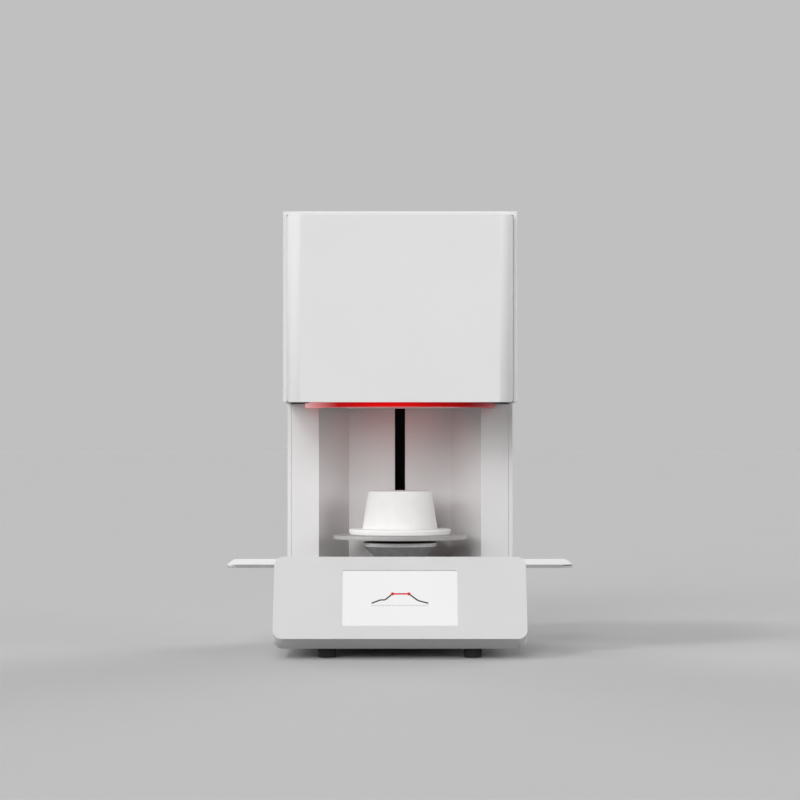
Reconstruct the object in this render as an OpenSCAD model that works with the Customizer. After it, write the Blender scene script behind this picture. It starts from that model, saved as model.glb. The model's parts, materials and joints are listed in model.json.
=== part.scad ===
// Bench furnace for a dental laboratory, loaded from below by a motor-driven lift.
// The lift axis is the Z axis, the front looks towards -Y, and the feet stand on Z = 0.

/* [Overall] */
// Width of the base, side to side
base_w = 339; // [330:1:380]
// Width of the tower and the heating housing
body_w = 316; // [306:1:322]
// Distance from the lift axis forward to the nose of the console
front_y = 195; // [190:1:215]
// Distance from the lift axis back to the rear sheets
rear_y = 192; // [190:1:215]
// Height of the rubber feet
foot_h = 13.8; // [10:0.1:20]

/* [Console] */
// Length of the sloping console face, nose to top edge
face_len = 122.7; // [121:0.1:135]
// Lean of the console face back from upright
face_tilt = 30; // [26:1:32]
// Depth of the console's rim behind its face
rim = 30; // [26:1:36]
// Corner radius of the console face
corner_r = 13; // [8:1:18]
// Wall of the moulded console
fascia_t = 2.5; // [2:0.1:3]
// Width of the screen window
screen_w = 154; // [120:1:180]
// Height of the screen window along the face
screen_h = 83.2; // [70:0.1:88]
// Distance from the top edge of the face down to the window
screen_drop = 20.2; // [18:0.1:24]
// Corner radius of the window
screen_r = 1.5; // [1:0.5:4]
// Thickness of the touch glass
glass_t = 2; // [1.5:0.1:3]
// How far the glass reaches behind the window's edge
glass_margin = 5; // [3:1:8]
// Thickness of the display behind the glass
display_t = 7; // [5:0.5:9]
// Diameter of the console's screw bosses
boss_d = 7; // [6:0.5:8]

/* [Base] */
// Thickness of the sheet metal of base and housing
sheet_t = 2; // [1.5:0.1:2.5]
// Height of the floor pan's upturned edges
pan_edge = 15; // [10:1:20]
// Diameter of a rubber foot
foot_d = 25; // [20:1:32]
// Distance between the left and right feet
foot_span = 196; // [160:1:240]
// Distance from the lift axis forward to the front feet
foot_front = 140; // [110:1:145]
// Distance from the lift axis back to the rear feet
foot_back = 150; // [110:1:165]
// Diameter of the foot screws
foot_screw_d = 5; // [4:0.5:6]

/* [Side shelves] */
// Distance from the lift axis out to the outer edge of a shelf
shelf_reach = 237; // [215:1:260]
// Distance from the lift axis forward to the front edge of a shelf
shelf_front = 80; // [60:1:100]
// Distance from the lift axis back to the rear edge of a shelf
shelf_back = 96; // [80:1:120]
// Sheet thickness of a shelf
shelf_t = 2; // [1.5:0.1:2.5]
// Visible height of a shelf's folded edge
shelf_edge = 4.6; // [4:0.1:8]
// Radius of a shelf's outer corners
shelf_r = 14; // [8:1:20]
// Diameter of the shelf screws
shelf_screw_d = 4; // [3:0.5:4]

/* [Tower and housing] */
// Free height of the loading bay, deck to housing
bay_h = 223.5; // [218:0.5:245]
// Height of the heating housing
housing_h = 258; // [250:1:280]
// Distance from the lift axis forward to the front edge of the wrap
wrap_front = 136; // [135:1:150]
// Width of the wrap's folded lip
lip = 5.5; // [4.5:0.5:8]
// How far the front cover stands out of the wrap
cover_out = 22; // [18:1:30]
// How far the front cover reaches into the wrap
cover_tuck = 8; // [6:1:9]
// Radius of the front cover's upright edges
cover_r = 19; // [12:1:20]
// Radius of the front cover's corners, seen from the front
cover_corner_r = 4; // [3:0.5:6]
// Distance from the lift axis back to the faces of the two pillars
pillar_y = 20; // [16:1:30]
// Width of the alcove at the pillars
alcove_front_w = 228; // [222:1:240]
// Width of the flat back of the alcove
alcove_back_w = 146; // [135:1:155]
// Distance from the lift axis back to the alcove's back wall
alcove_back_y = 98; // [96:0.5:102]
// Sheet thickness of the alcove liner
liner_t = 1.5; // [1:0.1:2]
// Width of the lift slot
slot_w = 14.6; // [13:0.1:20]
// Height over the deck at which the slot begins
slot_end = 3; // [2:0.5:3.5]
// Number of louvres in each bank of the rear cover
louvre_rows = 9; // [4:1:11]
// Length of one louvre
louvre_w = 78; // [50:1:90]
// Distance from one louvre to the next
louvre_pitch = 14; // [13:1:18]
// How far louvres and the fan guard stand out of the rear sheets
rear_proud = 3; // [2.8:0.1:3.4]

/* [Chamber] */
// Outer diameter of the status light ring
ring_d = 265; // [260:1:270]
// Radial width of the status light ring
ring_band = 24; // [20:1:26]
// How far ring, collar and throat hang below the housing
ring_drop = 6.3; // [5:0.1:8]
// Outer diameter of the mouth collar
collar_d = 190; // [180:1:194]
// Outer diameter of the throat block's lower neck
neck_d = 151; // [148:1:160]
// Gap all round between the raised plug and the throat
throat_gap = 3.5; // [2:0.5:5]
// Height of the throat block above the housing floor
throat_h = 50; // [46:1:60]
// Diameter of the heating chamber
chamber_d = 124; // [118:1:130]
// Height of the heating chamber
chamber_h = 105; // [90:1:108]
// Outer diameter of the insulation
insulation_d = 238; // [220:1:240]
// Thickness of the insulating roof
roof_t = 45; // [35:1:48]
// Sheet thickness of the chamber casing
casing_t = 1.5; // [1:0.1:2]
// Number of U-shaped heating elements
element_count = 4; // [2:1:5]
// Distance from the chamber axis to the middle of an element
element_r = 50; // [49:0.5:52]
// Distance between the two legs of an element
element_w = 26; // [22:1:28]
// Diameter of an element's glowing leg
leg_d = 6; // [5:0.5:7]
// Diameter of an element's terminal
terminal_d = 12; // [9:0.5:12]
// How far the elements hang into the chamber
element_drop = 92; // [70:1:95]
// Diameter of the thermocouple sheath
sheath_d = 8; // [6:0.5:10]
// How far the thermocouple hangs into the chamber
sheath_drop = 30; // [15:1:40]

/* [Lift] */
// Diameter of the insulating plug at its top
plug_top_d = 88; // [80:1:92]
// Diameter of the insulating plug at its foot
plug_base_d = 104.8; // [100:0.2:110]
// Height of the insulating plug
plug_h = 53; // [45:1:56]
// Diameter of the plug's flange
flange_d = 142; // [130:1:146]
// Thickness of the plug's flange
flange_t = 8.4; // [7:0.1:10]
// Diameter of the steel carrier plate
plate_d = 186; // [170:1:188]
// Thickness of the steel carrier plate
plate_t = 5.6; // [4:0.1:7]
// Thickness of the black spacer ring under the plate
spacer_t = 5.1; // [4:0.1:6]
// Diameter of the lift head's rim
head_d = 102.6; // [96:0.2:110]
// Height of the lift head's rim band
head_rim = 5.1; // [4:0.1:7]
// Height of the lift head
head_h = 23.3; // [23:0.1:26]
// Wall of the lift head
head_t = 3; // [2.5:0.1:4]
// Width of the lift arm's blade
arm_w = 10; // [8:0.5:10.5]
// Height of the lift arm's blade
arm_h = 22; // [20:0.5:22.5]
// Height of the lift arm over the deck when lowered
arm_lift = 6; // [5:0.5:9]
// Diameter of the arm's round end inside the lift head
hub_d = 44; // [38:1:48]

/* [Drive] */
// Distance from the lift axis back to the lead screw
screw_y = 142; // [140:0.5:144]
// Outer diameter of the lead screw
screw_d = 16; // [14:1:18]
// Diameter of the lead screw's journals
journal_d = 10; // [8:1:11]
// Diameter of the guide rods
rod_d = 12; // [10:1:14]
// Distance between the guide rods
rod_span = 72; // [70:1:76]
// Height of the lift carriage
carriage_h = 50; // [44:1:51]
// Width of the lift carriage
carriage_w = 104; // [102:1:105]
// How far the lowered carriage dips below the deck
carriage_dip = 8; // [7:0.5:9]
// Wall of the carriage bushes
bush_t = 4; // [3:0.5:5]
// Diameter of the lead screw's nut
nut_d = 24; // [23:1:27]
// Diameter of the nut's flange
nut_flange_d = 30; // [29:1:32]
// Thickness of the two end blocks
block_h = 9; // [8.5:0.5:10]
// Length of the shaft coupling
coupling_l = 20; // [16:1:21]
// Diameter of the shaft coupling
coupling_d = 25; // [20:1:30]
// Side of the square lift motor
motor_w = 56.4; // [52:0.1:58]
// Height of the lift motor
motor_h = 50; // [40:1:51]
// Thickness of the motor bracket
bracket_t = 5; // [4:0.5:5.5]
// Diameter of the motor shaft
motor_shaft_d = 8; // [6:0.5:8]
// Width of the upright lift frame
frame_w = 124; // [123:1:128]
// Sheet thickness of the lift frame
frame_t = 3; // [2.5:0.1:3.5]

/* [Electrics] */
// Side of the cooling fan's square frame
fan_w = 80; // [70:1:84]
// Depth of the cooling fan's frame
fan_t = 25; // [22:1:28]
// Distance from the lift axis sideways to the fan
fan_x = 111; // [106:1:113]
// Height of the fan's axis over the floor pan
fan_z = 50; // [46:1:55]
// Number of fan blades
fan_blades = 7; // [5:1:9]
// Distance from the lift axis sideways to the mains inlet
inlet_x = 134; // [130:1:138]
// Distance from the lift axis sideways to the power switch
switch_x = 90; // [88:1:92]
// Height of inlet and switch over the floor pan
inlet_z = 46; // [36:1:60]
// Full swing of the power switch's rocker
rocker_swing = 24; // [16:1:26]
// Outer diameter of the ring-core transformer
coil_d = 104; // [90:1:110]
// Height of the ring-core transformer
coil_h = 46; // [36:1:56]

/* [Clearances] */
// Gap between neighbouring sheets and covers
sheet_gap = 0.3; // [0.2:0.05:0.5]
// Radial gap of a shaft in its bearing
running_gap = 0.05; // [0.03:0.01:0.08]
// Gap left under the throat when the flange is raised
seal_gap = 0.3; // [0.2:0.1:0.6]

/* [Hidden] */
$fn = 96;
eps = 0.01;
steps = 6;

// Heights from the table upwards
pan_z = foot_h;
pan_top = pan_z + sheet_t;
nose_z = foot_h + rim * sin(face_tilt);
deck_z = foot_h + face_len * cos(face_tilt);
housing_z = deck_z + bay_h;
top_z = housing_z + housing_h;
floor_z = housing_z + sheet_t;
floor_top = floor_z + sheet_t;
seat_z = housing_z - ring_drop;
rear_cover_z = deck_z + sheet_gap;
rear_cover_h = top_z - sheet_t - sheet_gap - rear_cover_z;
chamber_z = floor_top + throat_h;
roof_z = chamber_z + chamber_h;
lid_z = roof_z + roof_t;
lid_top = lid_z + casing_t;
arm_z = deck_z + arm_lift;
head_top = arm_z + head_h;
plate_z = head_top + spacer_t;
flange_z = plate_z + plate_t;
plug_z = flange_z + flange_t;
travel = seat_z - plug_z - seal_gap;
carriage_z = deck_z - carriage_dip;
stop_gap = 3;
shaft_gap = 2.6;
frame_gap = 1;
lower_block_z = carriage_z - stop_gap - block_h;
upper_block_z = housing_z - frame_gap - block_h;
coupling_z = lower_block_z - shaft_gap - coupling_l;
bracket_z = coupling_z - shaft_gap - bracket_t;
motor_z = bracket_z - motor_h;

// Radii and half widths that several pieces share
base_hw = base_w / 2;
body_hw = body_w / 2;
cover_hw = body_hw - lip;
rear_cover_hw = body_hw - sheet_t - sheet_gap;
pan_hw = base_hw - corner_r - sheet_gap;
ring_r = ring_d / 2;
led_in = ring_r - ring_band + 5;
led_out = ring_r - 9;
collar_r = collar_d / 2;
head_seat = 18;
head_bore_r = head_d / 2 - head_seat;
neck_r = neck_d / 2;
insulation_r = insulation_d / 2;
rod_x = rod_span / 2;
screw_r = screw_d / 2;
journal_r = journal_d / 2;
frame_hw = frame_w / 2;
frame_back = screw_y + 34;
block_hw = frame_hw - frame_t - sheet_gap;
carriage_front = screw_y - 30;
carriage_back = screw_y + 18;
guard_y = screw_y - 16.5;
guard_w = 28;
guard_t = 1.5;
cover_y = wrap_front + cover_out;
screen_v = face_len - screen_drop - screen_h / 2;
glass_w = screen_w + 2 * glass_margin;
glass_h = screen_h + 2 * glass_margin;
boss_x = glass_w / 2 + boss_d / 2 + 1;
boss_v = glass_h / 2 - boss_d;
display_back = fascia_t + glass_t + display_t;
shelf_z = deck_z + shelf_t;
shelf_in = body_hw + 1;
shelf_screw_x = (shelf_in + base_hw) / 2;
holder_h = 10;
clamp_h = 11;
link_t = 1.6;
terminal_top = lid_top + holder_h + clamp_h + link_t + 1.4;
sink_w = 84;
sink_l = 86;
sink_h = 26;
sink_x = pan_hw - sheet_t - sink_w - 1;
sink_y = 20;
fan_axis_z = pan_top + fan_z;
fan_bore_r = fan_w / 2 - 2;
fan_hole = fan_w * 0.447;
inlet_axis_z = pan_top + inlet_z;
inlet_w = 31;
inlet_h = 24;
inlet_t = 3;
pocket_w = 16.6;
pocket_h = 24.6;
switch_wall = 2.2;
rocker_pivot_y = rear_y - 6;
alcove = [
    [cover_hw, pillar_y],
    [alcove_front_w / 2, pillar_y],
    [alcove_back_w / 2, alcove_back_y],
    [-alcove_back_w / 2, alcove_back_y],
    [-alcove_front_w / 2, pillar_y],
    [-cover_hw, pillar_y]
];

// Depth coordinate, at height z, of the plane that lies d behind the console face
function face_y(z, d) =
    -front_y + (z - nose_z) * tan(face_tilt) + d / cos(face_tilt);

// Points on a circle about c from angle a to angle b
function arc(c, r, a, b) =
    [for (i = [0 : steps]) let (t = a + (b - a) * i / steps) c + r * [cos(t), sin(t)]];

// Unit normal on the right-hand side of the line from a to b
function side_normal(a, b) =
    let (d = (b - a) / norm(b - a)) [d[1], -d[0]];

// Corner shift that keeps a sheet of thickness t even round a fold
function fold(n, m, t) =
    (n + m) * t / (1 + n * m);

// The same open line of points, moved sideways by t
function shifted(p, t) =
    let (last = len(p) - 1)
    [for (i = [0 : last])
        let (n = side_normal(p[max(i - 1, 0)], p[max(i, 1)]))
        let (m = side_normal(p[min(i, last - 1)], p[min(i + 1, last)]))
        p[i] + fold(n, m, t)];

// Flat outline of a folded sheet that follows a line of points
module folded(p, t) {
    q = shifted(p, t);
    polygon(concat(p, [for (i = [len(q) - 1 : -1 : 0]) q[i]]));
}

module rounded_rect(w, h, r) {
    square([w - 2 * r, h], center = true);
    square([w, h - 2 * r], center = true);
    for (x = [-1, 1])
        for (y = [-1, 1])
            translate([x * (w / 2 - r), y * (h / 2 - r)])
                circle(r);
}

module tube(r_out, r_in, h) {
    difference() {
        cylinder(r = r_out, h = h);
        translate([0, 0, -eps])
            cylinder(r = r_in, h = h + 2 * eps);
    }
}

module along_x(w) {
    rotate([90, 0, 90])
        linear_extrude(w, center = true)
            children();
}

// Turns a shape drawn upright so that its axis points to the rear
module to_rear(x, y, z) {
    translate([x, y, z])
        rotate([-90, 0, 0])
            children();
}

// Frame of the console face: x to the side, y up the face from the nose, z outwards
module on_face() {
    translate([0, -front_y, nose_z])
        rotate([90 - face_tilt, 0, 0])
            children();
}

module pan_screw(d, length) {
    cylinder(d = d, h = length);
    rotate_extrude()
        polygon(concat([[0, 0], [d, 0]], arc([d - 1.2, -0.2], 1.2, 0, -75), [[0, -1.8]]));
}

module foot_places() {
    for (x = [-foot_span / 2, foot_span / 2])
        for (y = [-foot_front, foot_back])
            translate([x, y, 0])
                children();
}

module base_pan() {
    front = face_y(pan_top, rim) + sheet_gap;
    length = rear_y - sheet_t - sheet_gap - front;
    color("gainsboro")
    difference() {
        translate([-pan_hw, front, pan_z])
            cube([2 * pan_hw, length, pan_edge]);
        translate([-pan_hw + sheet_t, front - eps, pan_top])
            cube([2 * (pan_hw - sheet_t), length + 2 * eps, pan_edge]);
        translate([-base_hw, front - eps, pan_top])
            cube([base_w, pan_edge, pan_edge]);
        foot_places()
            translate([0, 0, pan_z - eps])
                cylinder(d = foot_screw_d + 0.5, h = sheet_t + 2 * eps);
        for (i = [-3 : 3])
            translate([i * 16, -foot_front + 30, pan_z - eps])
                linear_extrude(sheet_t + 2 * eps)
                    rounded_rect(5, 44, 2);
    }
}

module shelf_screw_places() {
    for (x = [-shelf_screw_x, shelf_screw_x])
        for (y = [-shelf_front + 20, (shelf_back - shelf_front) / 2, shelf_back - 20])
            translate([x, y, 0])
                children();
}

// Section of the base seen from behind, round at its lower edges and open between them
module base_section(inset, low) {
    hw = base_hw - inset;
    r = corner_r - inset;
    translate([-hw, foot_h + corner_r])
        square([2 * hw, deck_z - inset - foot_h - corner_r]);
    translate([-hw + r, low])
        square([2 * (hw - r), foot_h + corner_r - low]);
    for (x = [-hw + r, hw - r])
        translate([x, foot_h + corner_r])
            circle(r);
}

module base_shell() {
    depth = rim + sheet_gap;
    color("white")
    difference() {
        intersection() {
            along_x(base_w)
                polygon([
                    [face_y(foot_h, depth), foot_h],
                    [face_y(deck_z, depth), deck_z],
                    [rear_y, deck_z],
                    [rear_y, foot_h]
                ]);
            translate([0, rear_y + eps, 0])
                rotate([90, 0, 0])
                    linear_extrude(rear_y + front_y + 2 * eps)
                        base_section(0, foot_h);
        }
        translate([0, rear_y - sheet_t, 0])
            rotate([90, 0, 0])
                linear_extrude(rear_y + front_y)
                    base_section(sheet_t, foot_h - 1);
        translate([-frame_hw - 2, carriage_front - 12, deck_z - sheet_t - eps])
            cube([frame_w + 4, frame_back + frame_t + 4 - carriage_front + 12, sheet_t + 2 * eps]);
        to_rear(fan_x, rear_y - sheet_t - eps, fan_axis_z)
            cylinder(r = fan_bore_r, h = sheet_t + 2 * eps);
        to_rear(-inlet_x, rear_y - sheet_t - eps, inlet_axis_z)
            linear_extrude(sheet_t + 2 * eps)
                rounded_rect(inlet_w + 2 * sheet_gap, inlet_h + 2 * sheet_gap, 2);
        to_rear(-switch_x, rear_y - sheet_t - eps, inlet_axis_z)
            linear_extrude(sheet_t + 2 * eps)
                square([pocket_w, pocket_h] + 2 * (switch_wall + sheet_gap) * [1, 1], center = true);
        shelf_screw_places()
            translate([0, 0, deck_z - sheet_t - eps])
                cylinder(d = shelf_screw_d + 0.4, h = sheet_t + 2 * eps);
    }
}

module boss_places() {
    for (x = [-boss_x, boss_x])
        for (v = [-boss_v, boss_v])
            translate([x, screen_v + v, 0])
                children();
}

module front_fascia() {
    color("white")
    on_face() {
        difference() {
            translate([0, face_len / 2, -rim])
                linear_extrude(rim)
                    rounded_rect(base_w, face_len, corner_r);
            translate([0, face_len / 2, -rim - eps])
                linear_extrude(rim - fascia_t + eps)
                    rounded_rect(base_w - 2 * fascia_t, face_len - 2 * fascia_t, corner_r - fascia_t);
            translate([0, screen_v, -fascia_t - eps])
                linear_extrude(fascia_t + 2 * eps)
                    rounded_rect(screen_w, screen_h, screen_r);
        }
        boss_places()
            translate([0, 0, -display_back])
                tube(boss_d / 2, 1.3, display_back - fascia_t);
    }
}

module touch_screen() {
    color("whitesmoke")
    on_face()
        translate([0, screen_v, -fascia_t - glass_t])
            linear_extrude(glass_t)
                rounded_rect(glass_w, glass_h, screen_r + 1);
}

module display_module() {
    color("dimgray")
    on_face()
        translate([0, screen_v, -display_back])
            linear_extrude(display_t)
                square([glass_w - 2, glass_h - 2], center = true);
}

module display_bracket() {
    color("silver")
    on_face()
        translate([0, screen_v, -display_back - 1.5])
            linear_extrude(1.5)
                difference() {
                    rounded_rect(2 * boss_x + boss_d, glass_h - boss_d, 2);
                    rounded_rect(glass_w - 40, glass_h - 40, 4);
                    for (x = [-boss_x, boss_x])
                        for (v = [-boss_v, boss_v])
                            translate([x, v])
                                circle(1.6);
                }
}

module rubber_feet() {
    r = foot_d / 2;
    color("black")
    foot_places()
        rotate_extrude()
            polygon(concat(
                [[foot_screw_d / 2 + 0.25, foot_h], [foot_screw_d / 2 + 0.25, 6], [foot_screw_d + 1.5, 6],
                    [foot_screw_d + 1.5, 0]],
                arc([r - 2, 1], 1, -90, 0),
                [[r, foot_h - 1.5], [r - 0.8, foot_h]]
            ));
}

module foot_screws() {
    color("silver")
    foot_places()
        translate([0, 0, 6])
            pan_screw(foot_screw_d, foot_h + sheet_t);
}

// Outline of one shelf on the right-hand side, square inside and rounded outside
module shelf_outline(inner, edge) {
    w = shelf_reach - edge - inner;
    d = shelf_front + shelf_back - 2 * edge;
    r = shelf_r - edge;
    translate([inner, -shelf_front + edge]) {
        square([w - r, d]);
        translate([0, r])
            square([w, d - 2 * r]);
        for (y = [r, d - r])
            translate([w - r, y])
                circle(r);
    }
}

// Countersunk screw whose head ends level with the shelf, or its hole if it stands proud
module flush_screw(d, length, proud) {
    translate([0, 0, shelf_z])
        mirror([0, 0, 1])
            rotate_extrude()
                polygon([
                    [0, -proud], [d, -proud], [d, 0], [d / 2, d / 2 - 0.4], [d / 2, length],
                    [0, length]
                ]);
}

module shelf() {
    difference() {
        translate([0, 0, shelf_z - shelf_edge])
            linear_extrude(shelf_edge)
                shelf_outline(shelf_in, 0);
        translate([0, 0, shelf_z - shelf_edge - eps])
            linear_extrude(shelf_edge - shelf_t + eps)
                shelf_outline(base_hw + sheet_gap + shelf_t, shelf_t);
        translate([0, -shelf_front - eps, shelf_z - shelf_edge - eps])
            cube([base_hw + sheet_gap, shelf_front + shelf_back + 2 * eps, shelf_edge - shelf_t + eps]);
        shelf_screw_places()
            flush_screw(shelf_screw_d + 0.4, shelf_t + 2 * eps, eps);
    }
}

module right_shelf() {
    color("silver")
        shelf();
}

module left_shelf() {
    color("silver")
        mirror([1, 0, 0])
            shelf();
}

module shelf_screws() {
    color("silver")
    shelf_screw_places()
        flush_screw(shelf_screw_d, shelf_t + sheet_t + 3, 0);
}

module outer_wrap() {
    wall = [[-body_hw, deck_z], [-body_hw, top_z], [body_hw, top_z], [body_hw, deck_z]];
    lip_hw = cover_hw + sheet_gap;
    flange = 2 * lip;
    color("whitesmoke")
    difference() {
        union() {
            translate([0, rear_y, 0])
                rotate([90, 0, 0])
                    linear_extrude(rear_y + wrap_front)
                        folded(wall, sheet_t);
            for (side = [0, 1])
                mirror([side, 0, 0]) {
                    translate([lip_hw, -wrap_front, housing_z])
                        cube([body_hw - lip_hw, sheet_t, housing_h]);
                    translate([lip_hw, -wrap_front, housing_z])
                        cube([body_hw - lip_hw, wrap_front + pillar_y + sheet_t, sheet_t]);
                    translate([lip_hw, pillar_y, deck_z])
                        cube([body_hw - lip_hw, sheet_t, bay_h + sheet_t]);
                    translate([body_hw - flange, rear_y - 2 * sheet_t - sheet_gap, deck_z])
                        cube([flange, sheet_t, top_z - deck_z]);
                }
            translate([-body_hw, -wrap_front, top_z - lip + sheet_gap])
                cube([body_w, sheet_t, lip - sheet_gap]);
        }
        translate([-body_hw - eps, -wrap_front - eps, deck_z - eps])
            cube([body_w + 2 * eps, wrap_front + pillar_y + eps, bay_h + eps]);
        rear_screw_places()
            translate([0, 0, -3 * sheet_t])
                cylinder(d = 3, h = 4 * sheet_t);
    }
}

// Outline of the front cover seen from above, round at its front corners
module cover_outline(hw, front, r, back) {
    translate([-hw, -front + r])
        square([2 * hw, front - r - back]);
    translate([-hw + r, -front])
        square([2 * (hw - r), front - back]);
    for (x = [-hw + r, hw - r])
        translate([x, -front + r])
            circle(r);
}

module front_cover() {
    h = housing_h - lip;
    back = wrap_front - cover_tuck;
    color("white")
    difference() {
        intersection() {
            translate([0, 0, housing_z])
                linear_extrude(h)
                    cover_outline(cover_hw, cover_y, cover_r, back);
            translate([0, -cover_y - eps, housing_z + h / 2])
                rotate([-90, 0, 0])
                    linear_extrude(cover_out + cover_tuck + 2 * eps)
                        rounded_rect(2 * cover_hw, h, cover_corner_r);
        }
        translate([0, 0, housing_z + sheet_t])
            linear_extrude(h - 2 * sheet_t)
                cover_outline(cover_hw - sheet_t, cover_y - sheet_t, cover_r - sheet_t, back - 1);
    }
}

module alcove_liner() {
    h = housing_z - sheet_gap - deck_z;
    color("white")
    difference() {
        translate([0, 0, deck_z])
            linear_extrude(h)
                folded(alcove, liner_t);
        translate([-slot_w / 2, alcove_back_y - 1, deck_z + slot_end])
            cube([slot_w, liner_t + 2, h]);
    }
}

module rear_screw_places() {
    for (x = [-1, 1])
        for (i = [0 : 4])
            to_rear(x * (rear_cover_hw - lip), rear_y, rear_cover_z + 12 + i * (rear_cover_h - 24) / 4)
                children();
}

module louvre() {
    drop = 9;
    skin = 1.2;
    along_x(louvre_w)
        polygon([[0, 0], [rear_proud, -drop + 1.5], [rear_proud, -drop], [rear_proud - skin, -drop],
            [rear_proud - skin, -drop + 2], [0, -skin * 3]]);
    for (side = [-1, 1])
        translate([side * (louvre_w - skin) / 2, 0, 0])
            along_x(skin)
                polygon([[0, 0], [rear_proud, -drop + 1.5], [rear_proud, -drop], [0, -drop]]);
}

module louvre_places() {
    low = rear_cover_z + rear_cover_h - 36 - (louvre_rows - 1) * louvre_pitch;
    for (z = [low, deck_z + 60])
        for (x = [-1, 1])
            for (i = [0 : louvre_rows - 1])
                translate([x * (louvre_w / 2 + 16), rear_y, z + i * louvre_pitch])
                    children();
}

module rear_cover() {
    color("whitesmoke") {
        difference() {
            translate([-rear_cover_hw, rear_y - sheet_t, rear_cover_z])
                cube([2 * rear_cover_hw, sheet_t, rear_cover_h]);
            louvre_places()
                translate([-louvre_w / 2 + 2, -sheet_t - eps, -9])
                    cube([louvre_w - 4, sheet_t + 2 * eps, 5]);
            rear_screw_places()
                translate([0, 0, -sheet_t - eps])
                    cylinder(d = 3.4, h = sheet_t + 2 * eps);
        }
        louvre_places()
            louvre();
    }
}

module rear_screws() {
    color("silver")
    rear_screw_places()
        mirror([0, 0, 1])
            pan_screw(3, 7);
}

module housing_floor() {
    front = wrap_front - cover_tuck - sheet_gap;
    back = rear_y - 2 * sheet_t - 2 * sheet_gap;
    hw = body_hw - sheet_t - sheet_gap;
    color("gainsboro")
    difference() {
        translate([-hw, -front, floor_z])
            cube([2 * hw, front + back, sheet_t]);
        translate([0, 0, floor_z - eps])
            cylinder(r = neck_r + sheet_gap, h = sheet_t + 2 * eps);
        for (x = [-1, 1])
            translate([x * (hw - 26), back - 30, floor_z - eps])
                linear_extrude(sheet_t + 2 * eps)
                    rounded_rect(24, 36, 4);
    }
}

// Cuts the light ring off just in front of the pillars
module before_pillars() {
    intersection() {
        children();
        translate([-ring_r - 1, -ring_r - 1, seat_z - 1])
            cube([2 * ring_r + 2, ring_r + 1 + pillar_y - sheet_gap, ring_drop + 2 * sheet_t + 2]);
    }
}

module status_light_ring() {
    color("red")
    before_pillars()
    rotate_extrude()
        difference() {
            union() {
                polygon(concat(
                    [[ring_r - ring_band, housing_z], [ring_r - ring_band, seat_z]],
                    arc([ring_r - 1, seat_z + 1], 1, -90, 0),
                    [[ring_r, housing_z]]
                ));
                translate([led_in - 3, housing_z - eps])
                    square([led_out - led_in + 6, sheet_t + eps]);
            }
            translate([led_in, seat_z + 2])
                square([led_out - led_in, ring_drop + sheet_t]);
        }
}

module led_board() {
    color("green")
    before_pillars()
        translate([0, 0, floor_z - 1.6])
            tube(led_out - sheet_gap, led_in + sheet_gap, 1.6);
}

module mouth_collar() {
    color("silver")
    rotate_extrude()
        polygon([
            [neck_r + sheet_gap, seat_z + 0.8], [neck_r + sheet_gap + 0.8, seat_z],
            [collar_r - 1.5, seat_z], [collar_r, seat_z + 1.5],
            [collar_r, floor_z], [neck_r + sheet_gap, floor_z]
        ]);
}

// Radius of the throat at height z, a steady gap outside the raised plug
function throat_r(z) =
    plug_base_d / 2 + throat_gap
    - (z - plug_z - travel) * (plug_base_d - plug_top_d) / 2 / plug_h;

module throat_insulation() {
    color("ivory")
    rotate_extrude()
        polygon([
            [throat_r(seat_z), seat_z], [neck_r, seat_z], [neck_r, floor_top],
            [insulation_r, floor_top], [insulation_r, chamber_z], [throat_r(chamber_z), chamber_z]
        ]);
}

module side_insulation() {
    color("ivory")
    translate([0, 0, chamber_z])
        tube(insulation_r, chamber_d / 2, chamber_h);
}

module element_places() {
    for (i = [0 : element_count - 1])
        rotate([0, 0, 360 * (i + 0.5) / element_count])
            translate([element_r, 0, 0])
                children();
}

module leg_places() {
    element_places()
        for (y = [-element_w / 2, element_w / 2])
            translate([0, y, 0])
                children();
}

module roof_insulation() {
    color("ivory")
    difference() {
        translate([0, 0, roof_z])
            cylinder(r = insulation_r, h = roof_t);
        leg_places()
            translate([0, 0, roof_z - eps])
                cylinder(d = terminal_d + 1, h = roof_t + 2 * eps);
        translate([0, 0, roof_z - eps])
            cylinder(d = sheath_d + 1, h = roof_t + 2 * eps);
    }
}

module chamber_casing() {
    inner = insulation_r + sheet_gap;
    color("silver") {
        translate([0, 0, floor_top])
            tube(inner + casing_t, inner, lid_z - floor_top);
        translate([0, 0, floor_top])
            tube(inner + 8, inner + casing_t - eps, casing_t);
    }
}

module casing_lid() {
    color("silver")
    difference() {
        translate([0, 0, lid_z])
            cylinder(r = insulation_r + sheet_gap + casing_t + 3, h = casing_t);
        leg_places()
            translate([0, 0, lid_z - eps])
                cylinder(d = terminal_d + 2, h = casing_t + 2 * eps);
        translate([0, 0, lid_z - eps])
            cylinder(d = sheath_d + 1, h = casing_t + 2 * eps);
    }
}

module heating_elements() {
    bend_z = roof_z - element_drop + element_w / 2;
    color("dimgray")
    element_places() {
        for (y = [-element_w / 2, element_w / 2])
            translate([0, y, 0]) {
                translate([0, 0, bend_z])
                    cylinder(d = leg_d, h = roof_z + 8 - bend_z);
                translate([0, 0, roof_z + 4])
                    cylinder(d = terminal_d, h = terminal_top - roof_z - 4);
            }
        translate([0, 0, bend_z])
            rotate([0, 90, 0])
                rotate([0, 0, -90])
                    rotate_extrude(angle = 180)
                        translate([element_w / 2, 0])
                            circle(d = leg_d);
    }
}

module element_holders() {
    color("white")
    element_places()
        translate([0, 0, lid_top])
            difference() {
                linear_extrude(holder_h)
                    rounded_rect(terminal_d + 8, element_w + terminal_d + 6, 3);
                for (y = [-element_w / 2, element_w / 2])
                    translate([0, y, -eps])
                        cylinder(d = terminal_d + 2 * running_gap, h = holder_h + 2 * eps);
            }
}

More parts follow.
